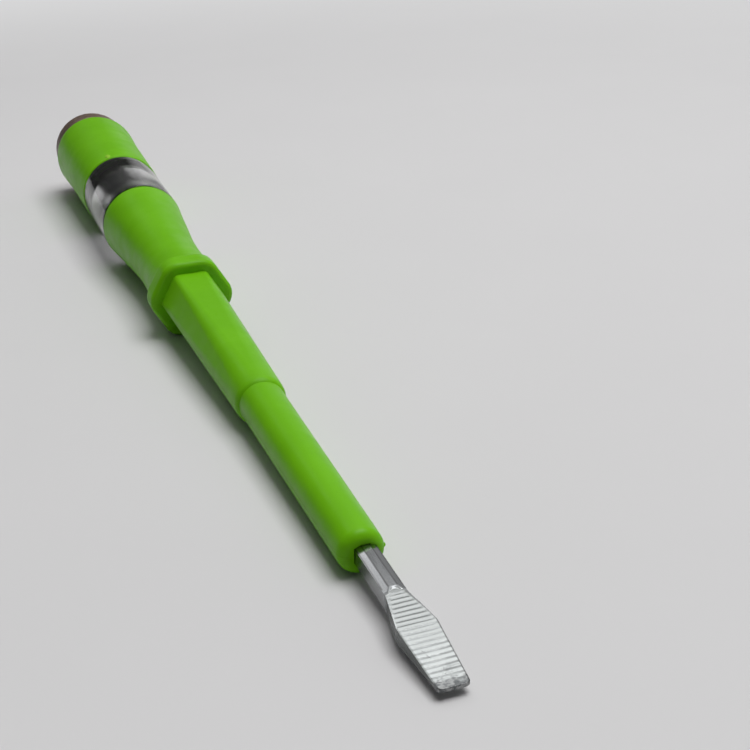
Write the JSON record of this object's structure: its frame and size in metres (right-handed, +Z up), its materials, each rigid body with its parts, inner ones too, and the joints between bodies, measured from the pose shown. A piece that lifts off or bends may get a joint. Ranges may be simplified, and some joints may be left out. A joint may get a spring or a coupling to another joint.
{
  "type": "voltage tester screwdriver",
  "caption": "Slim flat screwdriver with a ridged blade, an insulating sleeve, a waisted handle with a hexagonal collar, a clear lamp window and a screw cap with a touch contact.",
  "frame": {"origin": "middle of the tool's length, under its axis, at the height of the widest round of the rear cap", "axes": "+X along the tool towards the blade's tip, +Y across, +Z up, square to one flat of the hexagonal collar and to the faces of the blade"},
  "size_m": [0.194, 0.0164, 0.0163],
  "materials": {
    "green_plastic": "satin bright green moulded plastic",
    "clear_plastic": "clear polished plastic",
    "plated_steel": "nickel-plated steel, worn at the tip",
    "brown_metal": "brown tarnished metal",
    "spring_steel": "bright drawn wire",
    "lamp_glass": "glass darkened inside by years of glowing",
    "nickel_plate": "nickel plate",
    "resistor_coat": "tan lacquer"
  },
  "bodies": {
    "handle": {"blade": "plated_steel", "insulating_sleeve": "green_plastic", "handle_body": "green_plastic", "clear_window": "clear_plastic", "resistor_body": "resistor_coat", "resistor_front_cap": "nickel_plate", "resistor_rear_cap": "nickel_plate", "neon_glass": "lamp_glass", "neon_front_cap": "nickel_plate", "neon_rear_cap": "nickel_plate", "neon_front_electrode": "spring_steel", "neon_rear_electrode": "spring_steel", "contact_spring": "spring_steel"},
    "seat": {"spring_seat": "nickel_plate"},
    "cap": {"rear_cap": "green_plastic", "end_contact": "brown_metal", "contact_retainer": "spring_steel"}
  },
  "joints": [
    {"name": "cap_travel", "type": "slide", "parent": "handle", "child": "seat", "axis": [-1, 0, 0], "range_m": [0, 0.0075], "deforming": ["contact_spring"]},
    {"name": "cap_turn", "type": "hinge", "parent": "seat", "child": "cap", "pos_m": [-0.0763, 0, 0.00815], "axis": [-1, 0, 0], "range_deg": [0, 1800]}
  ],
  "couplings": [
    {"joint": "cap_travel", "follows": "cap_turn", "m_per_rad": 0.00023873}
  ]
}
